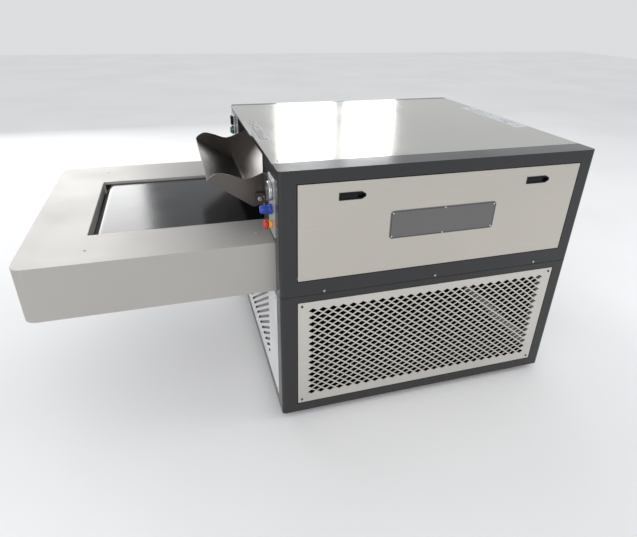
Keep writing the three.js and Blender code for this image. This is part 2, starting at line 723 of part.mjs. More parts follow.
place('safety_guard', safetyGuard(), brushedSteel);
place('guard_bracket_front', guardBracket(240, [205, 241]), whitePaint);
place('guard_bracket_rear', guardBracket(825, [827, 863]), whitePaint);
const switchBody = block([wall + GAP, wall + 28], [205, 237], [790, 830]);
const switchRoller = crossRod(7, [wall + 18, 834], 216, 226, FINE_STEPS);
place('limit_switch', join(switchBody, switchRoller), blackPlastic);

// ---------------------------------------------------------------- outfeed and services

function outfeedTray() {
  const start = width + GAP;
  const lip = start + SHEET;
  const profile = [[lip, 640], [lip, 650], [start + 128, 612], [start + 136, 622]];
  const rising = [[start, 600], [start, 640], [start + 6, 668]];
  const cheek = outline([...rising, [start + 132, 630], [start + 128, 608]]);
  const [near, far] = [WELL.near - 3, WELL.far + 3];
  const flange = block([start, lip], [near, far], [600, 649]);
  return join(
    alongY(bentSheet(profile, SHEET), near, far),
    flange,
    alongY(cheek, near, near + SHEET),
    alongY(cheek, far - SHEET, far),
  );
}

function backFitting(x, z, pieces) {
  return join(...pieces.map((piece) => piece.translate(x, depth + GAP, z)));
}

place('outfeed_tray', outfeedTray(), brushedSteel);
const inletFlange = block([-24, 24], [0, 3], [-16, 16]);
const inletBody = cut(block([-14, 14], [2, 16], [-10, 10]), block([-11, 11], [6, 17], [-7, 7]));
place('power_inlet', backFitting(960, 110, [inletFlange, inletBody]), blackPlastic);
const airParts = [crossRod(11, [0, 0], 0, 12, 6), crossRod(7, [0, 0], 11, 30, FINE_STEPS)];
place('air_inlet', backFitting(120, 110, airParts), brass);

// ---------------------------------------------------------------- controls on the left face

// In this group +Z points out of the left face and +X points up.
const leftFace = new THREE.Group();
leftFace.rotation.y = -Math.PI / 2;
machine.add(leftFace);
const PLATE_FRONT = GAP + SHEET;         // outer surface of a control plate
const ON_PLATE = PLATE_FRONT + GAP;      // seat of a fitting on it

function placeControl(name, geometry, material, up, y, out = ON_PLATE) {
  place(name, geometry, material, leftFace).position.set(up, y, out);
}

function controlPlate(bottom, top, near, far) {
  return alongZ(roundedRectangle(bottom, top, near, far, 4), GAP, PLATE_FRONT);
}

function gaugeCase() {
  const { radius, depth, dial, window } = GAUGE;
  const outside = [[0, 0], [radius - 2, 0], [radius, 2], [radius, depth - 2], [radius - 1.5, depth]];
  return turned([...outside, [window, depth], [window, dial], [0, dial]], 32);
}

function gaugeNeedle() {
  const pointer = outline([[-5, -1.2], [-5, 1.2], [19, 0.3], [19, -0.3]]);
  return join(alongZ(pointer, 3, 4), rod(3, 0, 4.5, 12)).rotateZ(Math.PI * 0.75);
}

function mushroomHead() {
  const { head, stem, collarDepth } = ESTOP;
  const under = collarDepth + 3.6;
  const crown = [[head - 0.8, under], [head, under + 2], [head, under + 6], [head - 2.2, under + 9]];
  return turned([[0, 4.6], [stem, 4.6], [stem, under], ...crown, [stem, under + 10.6], [0, under + 11]]);
}

function estopCollar() {
  const { collar, collarDepth, stem } = ESTOP;
  const outside = [[0, 0], [collar, 0], [collar, collarDepth - 2], [collar - 1.2, collarDepth]];
  return turned([...outside, [stem + 0.5, collarDepth], [stem + 0.5, 1], [0, 1]]);
}

// A grip ring with a shallow scallop between each pair of ribs.
function ribbedKnob(radius, scallop, ribs, low, high) {
  const points = [];
  for (let step = 0; step < ribs * 4; step += 1) {
    const angle = step * Math.PI / (ribs * 2);
    const reach = step % 4 < 2 ? radius : radius - scallop;
    points.push([reach * Math.cos(angle), reach * Math.sin(angle)]);
  }
  return alongZ(outline(points), low, high);
}

function regulatorKnob() {
  const { knob, grip, length } = REGULATOR;
  return join(ribbedKnob(knob, 0.9, 18, 0, grip), rod(knob - 1.6, grip - 1, length));
}

// The rear plate carries the rocker's frame and the ring of the start button.
function switchPlate() {
  const frame = (grow, low, high) => {
    const [tall, wide] = [ROCKER.half + grow, ROCKER.halfWidth + grow];
    return block([ROCKER.up - tall, ROCKER.up + tall], [SWITCHES_Y - wide, SWITCHES_Y + wide], [low, high]);
  };
  const ring = (radius, low, high) => rod(radius, low, high).translate(START.up, SWITCHES_Y, 0);
  const [frameTop, ringTop] = [ROCKER.seat + 1.5, START.seat + 4];
  const raised = join(
    controlPlate(771, 890, 925, 1025),
    frame(3, 1, frameTop),
    ring(START.radius + 3, 1, ringTop),
  );
  return cut(raised, frame(0, PLATE_FRONT, frameTop + 1), ring(START.radius, PLATE_FRONT, ringTop + 1));
}

// The rocker is a shallow V about a pin along Y, stored with its lower half pressed in.
function rockerSwitch() {
  const tilt = THREE.MathUtils.degToRad(10);
  const profile = outline([[-14, -0.5], [14, -0.5], [14, 2], [0, 1], [-14, 2]]);
  return alongY(profile, -9.5, 9.5).rotateY(-tilt);
}

const lens = rod(GAUGE.window - GAP, 0, 1.5, 32);
const startCap = rod(START.radius - GAP, 0, START.length);
const regulatorRing = ribbedKnob(REGULATOR.ring, 1.1, 20, 0, REGULATOR.ringDepth);
place('control_plate_front', controlPlate(689, 876, 48, 140), anodised, leftFace);
place('control_plate_rear', switchPlate(), anodised, leftFace);
placeControl('gauge_case', gaugeCase(), turnedSteel, GAUGE.up, CONTROLS_Y);
placeControl('gauge_needle', gaugeNeedle(), dialRed, GAUGE.up, CONTROLS_Y, ON_PLATE + GAUGE.dial + GAP);
placeControl('gauge_lens', lens, clearGlass, GAUGE.up, CONTROLS_Y, ON_PLATE + GAUGE.depth - 1.8);
placeControl('regulator_body', regulatorRing, bluePlastic, REGULATOR.up, CONTROLS_Y);
const knobSeat = ON_PLATE + REGULATOR.ringDepth + GAP;
placeControl('regulator_knob', regulatorKnob(), bluePlastic, REGULATOR.up, CONTROLS_Y, knobSeat);
placeControl('estop_collar', estopCollar(), yellowPlastic, ESTOP.up, CONTROLS_Y);
placeControl('estop_head', mushroomHead(), redPlastic, ESTOP.up, CONTROLS_Y);
placeControl('rocker_switch', rockerSwitch(), blackPlastic, ROCKER.up, SWITCHES_Y, ROCKER.seat);
placeControl('start_button', startCap, greenPlastic, START.up, SWITCHES_Y, START.seat);

// ---------------------------------------------------------------- origin

machine.updateMatrixWorld(true);
const bounds = new THREE.Box3().setFromObject(machine);
const footprint = bounds.getCenter(new THREE.Vector3());
machine.position.set(-footprint.x, -footprint.y, -bounds.min.z);

export default machine;
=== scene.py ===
# Looks for the pneumatic roll laminator, built round its imported CAD model. Metres, +Z up. The CAD
# nodes keep their shapes and get materials and softened edges. The guard's steel is coloured dark brown as
# a painted reflection, and the electrical box near black as painted shade. Fine pieces are built here: the
# perforated grille, grey and black sheets of painted shade behind the louvres, the rim of the table well
# with a black painted-shade wall under its end, the seam line, screws, the gauge, knobs and buttons, the
# nameplate, blank labels and the guard's fittings.

import json
import math
import random

import bmesh
import bpy
from mathutils import Matrix, Vector


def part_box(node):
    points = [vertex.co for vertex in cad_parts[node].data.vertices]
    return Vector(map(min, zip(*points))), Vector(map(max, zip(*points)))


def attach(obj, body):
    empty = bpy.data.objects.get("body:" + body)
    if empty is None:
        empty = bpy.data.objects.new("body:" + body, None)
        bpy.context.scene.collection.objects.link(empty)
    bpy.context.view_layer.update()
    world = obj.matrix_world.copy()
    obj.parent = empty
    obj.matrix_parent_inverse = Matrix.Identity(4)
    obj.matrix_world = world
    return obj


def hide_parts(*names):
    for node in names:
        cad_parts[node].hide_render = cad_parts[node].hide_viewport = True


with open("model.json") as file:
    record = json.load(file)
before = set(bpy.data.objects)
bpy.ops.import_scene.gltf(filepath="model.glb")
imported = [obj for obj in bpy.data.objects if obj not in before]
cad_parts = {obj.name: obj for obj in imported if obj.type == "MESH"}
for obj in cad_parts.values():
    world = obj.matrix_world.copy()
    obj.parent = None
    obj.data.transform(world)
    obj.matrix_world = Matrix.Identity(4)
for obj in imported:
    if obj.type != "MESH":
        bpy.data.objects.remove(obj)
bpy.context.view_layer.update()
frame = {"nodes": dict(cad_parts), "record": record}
nodes = frame["nodes"]

MM = 0.001
X, Y, Z = Vector((1, 0, 0)), Vector((0, 1, 0)), Vector((0, 0, 1))
SQUARE = ((-1, -1), (1, -1), (1, 1), (-1, 1))


# ---------------------------------------------------------------- camera and light

CAMERA_PLACE = Vector((-0.505, -1.814, 1.361))
CAMERA_AZIMUTH = math.radians(16.91)     # to the right of straight ahead
CAMERA_DROP = math.radians(27.11)        # below the horizon
CAMERA_ROLL = math.radians(1.19)
CAMERA_LENS = 27.27
CAMERA_SHIFT = (-0.002, -0.026)

SKY_COLOR = (0.97, 0.98, 1.0, 1)
SKY_STRENGTH = 0.74
WINDOW_PLANE = 4.5                       # how far behind the machine the studio windows stand
WINDOWS = {                              # left, right, bottom and top edges, radiance
    "window_left": (-3.9, -0.97, 1.3, 3.4, 5.6),
    "window_middle": (0.79, 1.58, 1.2, 2.7, 2.9),
    "window_right": (1.72, 2.46, 1.2, 2.7, 2.9),
}
SOFT_LIGHTS = {                          # place, size, radiance
    "front_soft": ((-2.4, -3.6, 2.3), (2.6, 2.0), 3.0),
    "side_soft": ((4.4, -1.4, 2.2), (2.4, 2.0), 2.4),
}
LIT_POINT = (0, 0, 0.5)
FLOOR_REACH = 14


def make_camera():
    data = bpy.data.cameras.new("camera")
    data.lens = CAMERA_LENS
    data.sensor_width = 36
    data.shift_x, data.shift_y = CAMERA_SHIFT
    data.clip_start = 0.01
    camera = bpy.data.objects.new("camera", data)
    pan = Matrix.Rotation(-CAMERA_AZIMUTH, 4, "Z")
    tilt = Matrix.Rotation(math.pi / 2 - CAMERA_DROP, 4, "X")
    roll = Matrix.Rotation(CAMERA_ROLL, 4, "Z")
    camera.matrix_world = Matrix.Translation(CAMERA_PLACE) @ pan @ tilt @ roll
    bpy.context.scene.collection.objects.link(camera)
    bpy.context.scene.camera = camera


def area_light(name, place, target, size, radiance):
    """A rectangular light that shows in reflections but not to the camera."""
    data = bpy.data.lights.new(name, "AREA")
    data.shape = "RECTANGLE"
    data.size, data.size_y = size
    data.energy = radiance * math.pi * size[0] * size[1]
    light = bpy.data.objects.new(name, data)
    aim = (Vector(target) - Vector(place)).to_track_quat("-Z", "Y")
    light.matrix_world = Matrix.Translation(place) @ aim.to_matrix().to_4x4()
    light.visible_camera = False
    bpy.context.scene.collection.objects.link(light)


def window(name, left, right, bottom, top, radiance):
    """A tall window behind the machine that shines straight forward."""
    middle = Vector(((left + right) / 2, WINDOW_PLANE, (bottom + top) / 2))
    area_light(name, middle, middle - Y, (right - left, top - bottom), radiance)


def make_light():
    world = bpy.data.worlds.new("studio")
    world.use_nodes = True
    background = world.node_tree.nodes["Background"]
    background.inputs["Color"].default_value = SKY_COLOR
    background.inputs["Strength"].default_value = SKY_STRENGTH
    bpy.context.scene.world = world
    bpy.context.scene.view_settings.view_transform = "Standard"
    for name, settings in WINDOWS.items():
        window(name, *settings)
    for name, (place, size, radiance) in SOFT_LIGHTS.items():
        area_light(name, place, LIT_POINT, size, radiance)


def make_floor():
    mesh = bpy.data.meshes.new("floor")
    corners = [(a * FLOOR_REACH, b * FLOOR_REACH, 0) for a, b in SQUARE]
    mesh.from_pydata(corners, [], [(0, 1, 2, 3)])
    floor = bpy.data.objects.new("floor", mesh)
    bpy.context.scene.collection.objects.link(floor)
    pale = Finish("studio_floor", (0.92, 0.92, 0.92), 1.0, Specular_IOR_Level=0.1)
    pale.vary_color(pale.noise(0.8, 2), 0.03)
    mesh.materials.append(pale.material)


# ---------------------------------------------------------------- materials

class Finish:
    """A procedural material. Its patterns lie in the machine's own frame, in metres."""

    def __init__(self, name, color, roughness, metallic=0.0, **sockets):
        self.material = bpy.data.materials.new(name)
        self.material.use_nodes = True
        self.tree = self.material.node_tree
        self.shader = self.tree.nodes["Principled BSDF"]
        self.color, self.roughness = color, roughness
        self.shader.inputs["Base Color"].default_value = (*color, 1)
        self.shader.inputs["Roughness"].default_value = roughness
        self.shader.inputs["Metallic"].default_value = metallic
        for socket, value in sockets.items():
            self.shader.inputs[socket.replace("_", " ")].default_value = value
        self.coords = self.node("ShaderNodeTexCoord").outputs["Object"]
        self.normal = None

    def node(self, kind, inputs=(), **settings):
        """A new node; an input is either a value or the output of another node."""
        made = self.tree.nodes.new(kind)
        for key, value in settings.items():
            setattr(made, key, value)
        for socket, value in dict(inputs).items():
            if isinstance(value, bpy.types.NodeSocket):
                self.tree.links.new(value, made.inputs[socket])
            else:
                made.inputs[socket].default_value = value
        return made

    def noise(self, scale, detail=4, stretch=(1, 1, 1), rough=0.55):
        place = self.node("ShaderNodeMapping", {"Vector": self.coords, "Scale": stretch})
        made = self.node("ShaderNodeTexNoise", {
            "Vector": place.outputs["Vector"], "Scale": scale, "Detail": detail, "Roughness": rough})
        return made.outputs["Fac"]

    def ramp(self, value, low, high, to_low, to_high):
        """Maps one range of values to another."""
        made = self.node("ShaderNodeMapRange", {
            "Value": value, "From Min": low, "From Max": high, "To Min": to_low, "To Max": to_high})
        return made.outputs["Result"]

    def tint(self, value, low_color, high_color, low=0.3, high=0.7):
        """Mixes two colours by a pattern and feeds the base colour."""
        amount = self.ramp(value, low, high, 0, 1)
        mix = self.node("ShaderNodeMix", {"Factor": amount}, data_type="RGBA")
        mix.inputs["A"].default_value = (*low_color, 1)
        mix.inputs["B"].default_value = (*high_color, 1)
        self.tree.links.new(mix.outputs["Result"], self.shader.inputs["Base Color"])

    def vary_color(self, value, spread):
        """Lets the colour drift darker and lighter by a share of itself."""
        darker = tuple(channel * (1 - spread) for channel in self.color)
        lighter = tuple(min(1, channel * (1 + spread)) for channel in self.color)
        self.tint(value, darker, lighter)

    def vary_roughness(self, value, spread):
        swing = self.ramp(value, 0.3, 0.7, self.roughness - spread, self.roughness + spread)
        self.tree.links.new(swing, self.shader.inputs["Roughness"])

    def bump(self, value, depth, strength=1.0):
        inputs = {"Height": value, "Distance": depth, "Strength": strength}
        if self.normal:
            inputs["Normal"] = self.normal
        self.normal = self.node("ShaderNodeBump", inputs).outputs["Normal"]
        self.tree.links.new(self.normal, self.shader.inputs["Normal"])

    def sum_of(self, *values):
        total = values[0]
        for value in values[1:]:
            total = self.node("ShaderNodeMath", {0: total, 1: value}, operation="ADD").outputs[0]
        return total

    def scaled(self, value, factor):
        return self.node("ShaderNodeMath", {0: value, 1: factor}, operation="MULTIPLY").outputs[0]


def brushed(name, color, along, roughness=0.3, metallic=0.92):
    """Sheet steel brushed along one axis: fine long lines, a little haze and faint handling marks."""
    made = Finish(name, color, roughness, metallic)
    stretch = [1.0, 1.0, 1.0]
    stretch["xyz".index(along)] = 0.012
    fine = made.noise(900, 3, stretch, 0.7)
    coarse = made.noise(140, 4, stretch, 0.6)
    haze = made.noise(3.5, 5)
    lines = made.sum_of(made.scaled(fine, 0.75), made.scaled(coarse, 0.25))
    made.vary_color(made.sum_of(made.scaled(lines, 0.6), made.scaled(haze, 0.4)), 0.06)
    made.vary_roughness(made.sum_of(made.scaled(lines, 0.5), made.scaled(haze, 0.5)), 0.1)
    made.bump(lines, 0.00004, 0.35)
    return made.material


def powder_coat(name, color, roughness=0.42, pebble=0.00005):
    """Baked powder paint with fine orange peel, dust haze and rare pale specks."""
    made = Finish(name, color, roughness, 0.0, Specular_IOR_Level=0.45)
    haze = made.noise(5, 6)
    speck = made.noise(700, 2)
    made.vary_color(made.sum_of(made.scaled(haze, 0.8), made.scaled(speck, 0.2)), 0.07)
    made.vary_roughness(haze, 0.07)
    made.bump(made.noise(420, 3), pebble, 0.6)
    return made.material


def belt_rubber():
    """Smooth black belt: faint weave under the skin, lengthwise scuffs and dust."""
    made = Finish("belt_skin", (0.008, 0.009, 0.011), 0.15, 0.0, Specular_IOR_Level=0.24)
    scuff = made.noise(60, 5, (0.03, 1, 1), 0.65)
    dust = made.noise(9, 6)
    made.tint(made.sum_of(made.scaled(scuff, 0.6), made.scaled(dust, 0.4)),
              (0.006, 0.007, 0.009), (0.014, 0.015, 0.017), 0.35, 0.75)
    made.vary_roughness(made.sum_of(made.scaled(scuff, 0.5), made.scaled(dust, 0.5)), 0.05)
    weave = made.node("ShaderNodeTexChecker", {"Vector": made.coords, "Scale": 900}).outputs["Fac"]
    made.bump(weave, 0.00002, 0.3)
    made.bump(scuff, 0.00004, 0.4)
    return made.material


def moulded(name, color, roughness, gloss=0.5):
    """Injection-moulded plastic: spark-eroded texture and slight tone drift."""
    made = Finish(name, color, roughness, 0.0, Specular_IOR_Level=gloss)
    drift = made.noise(30, 4)
    made.vary_color(drift, 0.08)
    made.vary_roughness(drift, 0.06)
    made.bump(made.noise(3000, 2), 0.00002, 0.4)
    return made.material


def machined(name, color, roughness, scale=500):
    """Turned or ground metal with tool rings and a little tarnish."""
    made = Finish(name, color, roughness, 1.0)
    ring = made.noise(scale, 3, (0.1, 1, 0.1), 0.7)
    tarnish = made.noise(14, 5)
    made.vary_color(made.sum_of(made.scaled(ring, 0.4), made.scaled(tarnish, 0.6)), 0.1)
    made.vary_roughness(made.sum_of(made.scaled(ring, 0.5), made.scaled(tarnish, 0.5)), 0.1)
    made.bump(ring, 0.00003, 0.3)
    return made.material


def roller_rubber():
    """Ground rubber cover, matt, with the grinding marks round it."""
    made = Finish("roller_cover", (0.03, 0.033, 0.04), 0.62)
    grind = made.noise(700, 3, (1, 0.05, 1), 0.7)
    made.vary_color(grind, 0.2)
    made.vary_roughness(made.noise(20, 4), 0.1)
    made.bump(grind, 0.00005, 0.5)
    return made.material


def clear_window():
    """Clear plastic lens with a slightly uneven polish."""
    made = Finish("gauge_window", (0.95, 0.97, 0.98), 0.03, 0.0, Transmission_Weight=1.0, IOR=1.45)
    made.vary_roughness(made.noise(60, 3), 0.02)
    return made.material


SURFACES = {
    "frame_grey": powder_coat("frame_coat", (0.022, 0.0225, 0.0235), 0.22),
    "brushed_sheet": brushed("sheet_brushed_x", (0.58, 0.545, 0.50), "x", 0.36),
    "vent_sheet": brushed("vent_satin", (0.64, 0.62, 0.58), "x", 0.38, 0.8),
    "white_paint": powder_coat("white_coat", (0.78, 0.78, 0.80), 0.4),
    "belt": belt_rubber(),
    "bright_steel": machined("bright_steel", (0.55, 0.56, 0.57), 0.28),
    "roller_rubber": roller_rubber(),
    "black_plastic": moulded("black_moulding", (0.005, 0.005, 0.006), 0.45, 0.22),
    "anodised": brushed("anodised_satin", (0.62, 0.63, 0.65), "z", 0.36, 0.85),
    "plate_grey": brushed("plate_grey", (0.17, 0.168, 0.17), "x", 0.38, 0.7),
    "blue_plastic": moulded("blue_moulding", (0.012, 0.05, 0.36), 0.3),
    "red_plastic": moulded("red_moulding", (0.55, 0.02, 0.03), 0.25),
    "yellow_plastic": moulded("amber_moulding", (0.85, 0.38, 0.05), 0.3),
    "green_plastic": moulded("green_moulding", (0.005, 0.12, 0.07), 0.3),
    "gauge_glass": clear_window(),
    "needle_paint": powder_coat("needle_coat", (0.5, 0.01, 0.015), 0.35),
    "brass": machined("brass", (0.62, 0.42, 0.16), 0.3),
}
ROOF_STEEL = brushed("roof_brushed", (0.50, 0.49, 0.46), "y", 0.16)
TABLE_STEEL = brushed("table_brushed", (0.42, 0.405, 0.385), "x", 0.5, 0.4)
RIM_STEEL = brushed("rim_satin", (0.55, 0.54, 0.51), "y", 0.5, 0.35)
# brushed stainless of the guard and its brackets, with the dark brown room painted into its colour as a
# reflection
GUARD_PAINTED_REFLECTION = brushed("guard_brushed_painted_reflection", (0.135, 0.122, 0.112), "x", 0.33)
# grey painted shade, seen through the louvre and vent slots
SHADOW_GREY = powder_coat("louvre_shade", (0.36, 0.36, 0.375), 0.6)
SCREW_DARK = machined("screw_dark", (0.10, 0.10, 0.105), 0.4)
# near-black painted shade: the dark inside the louvres and vents, under the well's end, and the seam's
# shadow line
PAINTED_SHADE_BLACK = powder_coat("painted_shade_black", (0.008, 0.008, 0.009), 0.7)
INK_DARK = moulded("printed_ink", (0.06, 0.06, 0.065), 0.5)
LABEL_PALE = moulded("label_film", (0.62, 0.63, 0.68), 0.35)
LABEL_SILVER = brushed("label_silver", (0.46, 0.46, 0.455), "y", 0.4, 0.6)
DIAL_WHITE = moulded("dial_face", (0.78, 0.78, 0.76), 0.4)


# ---------------------------------------------------------------- CAD nodes

OWN_FINISH = {                           # nodes that differ from their slot's usual finish
    "top_cover": ROOF_STEEL, "infeed_table": TABLE_STEEL, "safety_guard": GUARD_PAINTED_REFLECTION,
    "guard_bracket_front": GUARD_PAINTED_REFLECTION, "guard_bracket_rear": GUARD_PAINTED_REFLECTION,
    # the electrical box is coloured near black as painted shade, so the cabinet's inside looks dark through
    # the vents
    "electrical_box": powder_coat("box_painted_shade_coat", (0.02, 0.021, 0.022), 0.5),
}
EDGE_RADIUS = {                          # in millimetres
    "base_frame": 2.0, "upper_frame": 2.5, "infeed_table": 2.2, "top_cover": 1.0, "safety_guard": 0.7,
    "front_access_panel": 1.2, "left_louvre_panel": 0.8, "right_louvre_panel": 0.8, "rear_vent_panel": 0.8,
    "rear_upper_panel": 1.2, "outfeed_panel": 1.2, "outfeed_tray": 0.6, "gear_motor": 2.0,
    "press_bridge": 1.5, "press_carriage": 1.5, "electrical_box": 1.2,
}
SMALL_EDGE = 0.4
FLAT_ANGLE = math.radians(0.5)           # faces that differ by less than this are one flat face
CORNER_ANGLE = math.radians(35)          # edges that turn more than this get rounded


def dress_cad_nodes():
    slots = {row["node"]: row["material_slot"] for row in frame["record"]["subparts"]}
    for name, obj in nodes.items():
        surface = OWN_FINISH.get(name, SURFACES[slots[name]])
        obj.data.materials.clear()
        obj.data.materials.append(surface)
        soften(obj, EDGE_RADIUS.get(name, SMALL_EDGE) * MM)


def soften(obj, radius):
    """Rounds the sharp edges and shades the rest smooth."""
    flat = obj.modifiers.new("flat", "DECIMATE")
    flat.decimate_type = "DISSOLVE"
    flat.angle_limit = FLAT_ANGLE
    edge = obj.modifiers.new("edge", "BEVEL")
    edge.width = radius
    edge.segments = 3
    edge.limit_method = "ANGLE"
    edge.angle_limit = CORNER_ANGLE
    edge.harden_normals = True
    obj.data.polygons.foreach_set("use_smooth", [True] * len(obj.data.polygons))


# ---------------------------------------------------------------- building tools

SMOOTH_ANGLE = math.radians(40)          # edges that turn less than this are shaded smooth
WELD = 1e-6
SCREW_RADIUS = 4 * MM


def piece(name, bm, body, slot, material=None, replaces=()):
    """A named piece that rides on a CAD body, in its slot's finish if no other is given."""
    mesh = bpy.data.meshes.new(name)
    bmesh.ops.recalc_face_normals(bm, faces=bm.faces)
    bm.to_mesh(mesh)
    bm.free()
    mesh.materials.append(material or SURFACES[slot])
    obj = bpy.data.objects.new(name, mesh)
    bpy.context.scene.collection.objects.link(obj)
    shade(obj)
    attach(obj, body)
    if replaces:
        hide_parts(*replaces)


def shade(obj):
    """Smooth shading on gentle edges, hard shading on sharp ones."""
    mesh = obj.data
    mesh.polygons.foreach_set("use_smooth", [True] * len(mesh.polygons))
    bm = bmesh.new()
    bm.from_mesh(mesh)
    for edge in bm.edges:
        sharp = len(edge.link_faces) == 2 and edge.calc_face_angle() > SMOOTH_ANGLE
        edge.smooth = not sharp
    bm.to_mesh(mesh)
    bm.free()


def add_box(bm, low, high, radius=0.0, segments=2):
    """A box between two corners, with rounded edges if a radius is given."""
    low, high = Vector(low), Vector(high)
    made = bmesh.ops.create_cube(bm, size=1)["verts"]
    size = high - low
    for vert in made:
        vert.co = Vector(a * b for a, b in zip(vert.co, size)) + (low + high) / 2
    if radius:
        edges = list({edge for vert in made for edge in vert.link_edges})
        bmesh.ops.bevel(bm, geom=edges, offset=radius, segments=segments, affect="EDGES", profile=0.5)


def facing(normal, place):
    """A frame whose +Z is the given direction, at a place."""
    normal = Vector(normal).normalized()
    return Matrix.Translation(place) @ normal.to_track_quat("Z", "Y").to_matrix().to_4x4()


def add_rings(bm, rings, caps=True):
    """Skins a stack of closed rings that all have the same number of points."""
    loops = [[bm.verts.new(point) for point in ring] for ring in rings]
    count = len(loops[0])
    for lower, upper in zip(loops, loops[1:]):
        for i in range(count):
            j = (i + 1) % count
            bm.faces.new((lower[i], lower[j], upper[j], upper[i]))
    if caps:
        bm.faces.new(list(reversed(loops[0])))
        bm.faces.new(loops[-1])


def band_piece(name, rings, body, slot, material=None):
    """A piece that has a hole through it: the last ring joins the first again."""
    bm = bmesh.new()
    add_rings(bm, [*rings, rings[0]], caps=False)
    bmesh.ops.remove_doubles(bm, verts=bm.verts, dist=WELD)
    piece(name, bm, body, slot, material)


def ring(radius, height, count=48, shape=None):
    """A closed ring about Z; `shape` maps an angle to a factor on the radius."""
    points = []
    for i in range(count):
        angle = 2 * math.pi * i / count
        reach = radius * (shape(angle) if shape else 1)
        points.append(Vector((reach * math.cos(angle), reach * math.sin(angle), height)))
    return points


def add_turned(bm, profile, matrix, count=48, shape=None):
    """A turned solid from (radius, height) pairs; `shape` ribs the pairs marked True."""
    rings = []
    for radius, height, *ribbed in profile:
        made = ring(radius, height, count, shape if ribbed else None)
        rings.append([matrix @ point for point in made])
    add_rings(bm, rings)


def turned_piece(name, profile, seat, body, slot, count=48, shape=None, material=None, replaces=()):
    """A piece that is one turned solid on its seat."""
    bm = bmesh.new()
    add_turned(bm, profile, seat, count, shape)
    piece(name, bm, body, slot, material, replaces)


def hexagon(angle):
    """Radius factor that turns a circle into a hexagon."""
    sixth = math.pi / 3
    return math.cos(sixth / 2) / math.cos((angle % sixth) - sixth / 2)


def add_screw(bm, place, normal, radius=SCREW_RADIUS, socket=True):
    """A button-head screw, with a hexagon socket unless told otherwise, seated on a face."""
    height = radius * 0.6
    recess = radius * 0.5
    profile = [
        (radius, -0.2 * height), (radius, 0.15 * height), (radius * 0.93, 0.5 * height),
        (radius * 0.75, 0.85 * height), (radius * 0.55, height),
    ]
    if socket:
        profile += [(recess, height, True), (recess, 0.25 * height, True)]
    add_turned(bm, profile, facing(normal, place), 24, hexagon)


def screws(name, places, normal, radius=SCREW_RADIUS, material=None):
    bm = bmesh.new()
    for place in places:
        add_screw(bm, place, normal, radius)
    piece(name, bm, "cabinet", "bright_steel", material)


def corner_points(low, high, inset, axis, value):
    """Four points inset from the corners of a rectangle that lies square to one axis."""
    u, v = [i for i in range(3) if i != axis]
    points = []
    for a in (low[u] + inset, high[u] - inset):
        for b in (low[v] + inset, high[v] - inset):
            point = Vector((0, 0, 0))
            point[axis], point[u], point[v] = value, a, b
            points.append(point)
    return points


# ---------------------------------------------------------------- ventilation

GRILLE = {
    "columns": 26, "rows": 14, "pitch_x": 35.5 * MM, "pitch_z": 27.1 * MM,
    "raised": 4 * MM,                    # how far the field of holes sits above the sheet's middle
    "open_x": 0.85, "open_z": 0.69,      # share of the pitch that a hole takes
}
SHEET = 2 * MM
# depths of the grey and black painted-shade sheets behind the louvres and vents
SHADE_SHEET = {"inset": 40 * MM, "thick": 1 * MM, "depth": 9 * MM, "black_shade_depth": 10.2 * MM}


def diamond_cells(low, high):
    """Centres of the diamond openings: a grid, and a second grid half a pitch over."""
    columns, rows = GRILLE["columns"], GRILLE["rows"]
    middle = (low + high) / 2
    start_x = middle.x - (columns - 1) * GRILLE["pitch_x"] / 2
    start_z = middle.z + GRILLE["raised"] - (rows - 1) * GRILLE["pitch_z"] / 2
    for half, fewer in ((0, 0), (0.5, 1)):
        for i in range(columns - fewer):
            for j in range(rows - fewer):
                yield start_x + (i + half) * GRILLE["pitch_x"], start_z + (j + half) * GRILLE["pitch_z"]


def perforated_grille():
    """The front sheet with real diamond holes, its plain border and its folded edges."""
    low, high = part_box("front_vent_grille")
    bm = bmesh.new()
    known = {}

    def vert(x, z):
        key = (round(x, 6), round(z, 6))
        if key not in known:
            known[key] = bm.verts.new((x, low.y, z))
        return known[key]

    half_x, half_z = GRILLE["pitch_x"] / 2, GRILLE["pitch_z"] / 2
    centres = list(diamond_cells(low, high))
    for x, z in centres:
        outer = [(x + half_x, z), (x, z + half_z), (x - half_x, z), (x, z - half_z)]
        inner = [(x + (u - x) * GRILLE["open_x"], z + (v - z) * GRILLE["open_z"]) for u, v in outer]
        for k in range(4):
            n = (k + 1) % 4
            bm.faces.new((vert(*outer[k]), vert(*outer[n]), vert(*inner[n]), vert(*inner[k])))
    add_grille_border(bm, vert, low, high, centres)
    extrude_back(bm, SHEET)
    for start, end in folded_edges(low, high):
        add_box(bm, start, end)
    piece("front_grille_sheet", bm, "cabinet", "vent_sheet", replaces=["front_vent_grille"])


